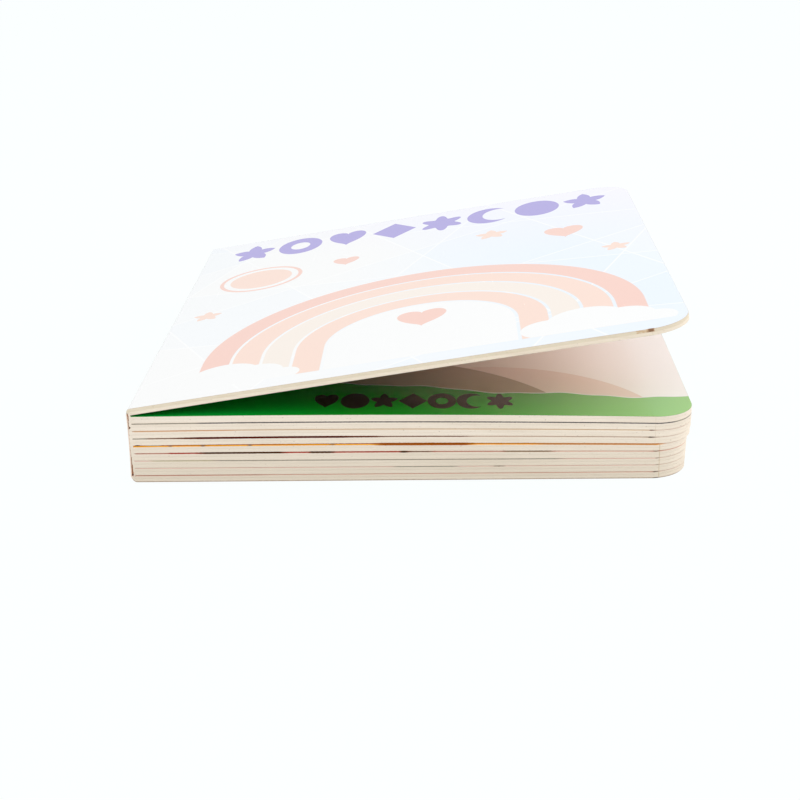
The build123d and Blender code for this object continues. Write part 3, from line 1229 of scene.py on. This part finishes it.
def seen_rays(tree):
    """1 for what the camera sees, straight or by gloss or glass."""
    path = tree.nodes.new("ShaderNodeLightPath")
    camera, gloss, glass = (Field(tree, path.outputs[f"Is {kind} Ray"])
                            for kind in ("Camera", "Glossy", "Transmission"))
    return camera.most(gloss).most(glass)


def put_out(tree, output, first, second, share):
    """Puts out a mix of two shaders, with a share of the second one."""
    mixed = tree.nodes.new("ShaderNodeMixShader")
    for place, value in enumerate((share, first.outputs[0], second.outputs[0])):
        feed(tree, value, mixed.inputs[place])
    tree.links.new(mixed.outputs[0], tree.nodes.new(output).inputs[0])


def floor_material(stage):
    """White floor that lights the book from below and keeps a faint shadow for the camera."""
    material, tree, _ = new_material("floor")
    tree.nodes.clear()
    matte = new_node(tree, "ShaderNodeBsdfDiffuse", Color=stage.floor_colour)
    glow = new_node(tree, "ShaderNodeEmission", Color=stage.backdrop, Strength=stage.glow_strength)
    put_out(tree, "ShaderNodeOutputMaterial", matte, glow, seen_rays(tree) * stage.floor_glow)
    return material


class BOOK_OT_stage(bpy.types.Operator):
    """Sets up the camera, the white dome, the two lamps and the floor"""

    bl_idname = "board_book.stage"
    bl_label = "Stage"

    def execute(self, context):
        scene, stage = context.scene, context.scene.book_stage
        scene.view_settings.view_transform = "Standard"

        camera = bpy.data.objects.new("camera", bpy.data.cameras.new("camera"))
        scene.collection.objects.link(camera)
        camera.data.lens = stage.lens
        camera.data.sensor_width = 36
        camera.data.sensor_fit = "HORIZONTAL"
        camera.data.clip_start = 0.01
        yaw, pitch, roll = stage.yaw, stage.pitch, stage.roll
        ahead = Vector((sin(yaw) * cos(pitch), cos(yaw) * cos(pitch), -sin(pitch)))
        right = Vector((cos(yaw), -sin(yaw), 0))
        above = right.cross(ahead)
        axes = Matrix((right * cos(roll) + above * sin(roll), above * cos(roll) - right * sin(roll), -ahead))
        camera.matrix_world = Matrix.Translation(stage.camera_place) @ axes.transposed().to_4x4()
        scene.camera = camera

        world = bpy.data.worlds.new("white dome")
        world.use_nodes = True
        scene.world = world
        tree = world.node_tree
        tree.nodes.clear()
        dome = new_node(tree, "ShaderNodeBackground", Color=(1, 1, 1), Strength=stage.dome)
        backdrop = new_node(tree, "ShaderNodeBackground", Color=stage.backdrop)
        put_out(tree, "ShaderNodeOutputWorld", dome, backdrop, seen_rays(tree))

        for name, size, power, place in (
            ("soft lamp", 1.4, stage.lamp, (-0.5, -0.9, 1.3)),
            ("side lamp", 0.7, stage.side_lamp, (0.75, 0.1, 0.4)),
        ):
            lamp = bpy.data.objects.new(name, bpy.data.lights.new(name, "AREA"))
            scene.collection.objects.link(lamp)
            lamp.data.shape = "DISK"
            lamp.data.size = size
            lamp.data.energy = power
            lamp.location = place
            lamp.visible_glossy = False
            lamp.rotation_euler = (-Vector(place)).to_track_quat("-Z", "Y").to_euler()

        half, height = 4.0, -HAIR
        mesh = bpy.data.meshes.new("floor")
        corners = ((-half, -half), (half, -half), (half, half), (-half, half))
        mesh.from_pydata([(x, y, height) for x, y in corners], [], [(0, 1, 2, 3)])
        floor = bpy.data.objects.new("floor", mesh)
        scene.collection.objects.link(floor)
        mesh.materials.append(floor_material(stage))
        return {"FINISHED"}


STEPS = (BOOK_OT_stage, BOOK_OT_front_cover, BOOK_OT_back_cover, BOOK_OT_leaves, BOOK_OT_folds,
         BOOK_OT_spine, BOOK_OT_creases)


class BOOK_PT_panel(bpy.types.Panel):
    """Lists the steps that build the book"""

    bl_label = "Board book"
    bl_space_type = "VIEW_3D"
    bl_region_type = "UI"
    bl_category = "Board book"

    def draw(self, context):
        for step in STEPS:
            self.layout.operator(step.bl_idname)


CLASSES = (BookSizes, BookColours, StageSettings, *STEPS, BOOK_PT_panel)


def register():
    for item in CLASSES:
        bpy.utils.register_class(item)
    bpy.types.Scene.book_sizes = PointerProperty(type=BookSizes)
    bpy.types.Scene.book_colours = PointerProperty(type=BookColours)
    bpy.types.Scene.book_stage = PointerProperty(type=StageSettings)


def unregister():
    for name in ("book_sizes", "book_colours", "book_stage"):
        delattr(bpy.types.Scene, name)
    for item in reversed(CLASSES):
        bpy.utils.unregister_class(item)


def main():
    """Builds the book step by step."""
    register()
    for step in STEPS:
        group, name = step.bl_idname.split(".")
        getattr(getattr(bpy.ops, group), name)()


if __name__ == "__main__":
    main()
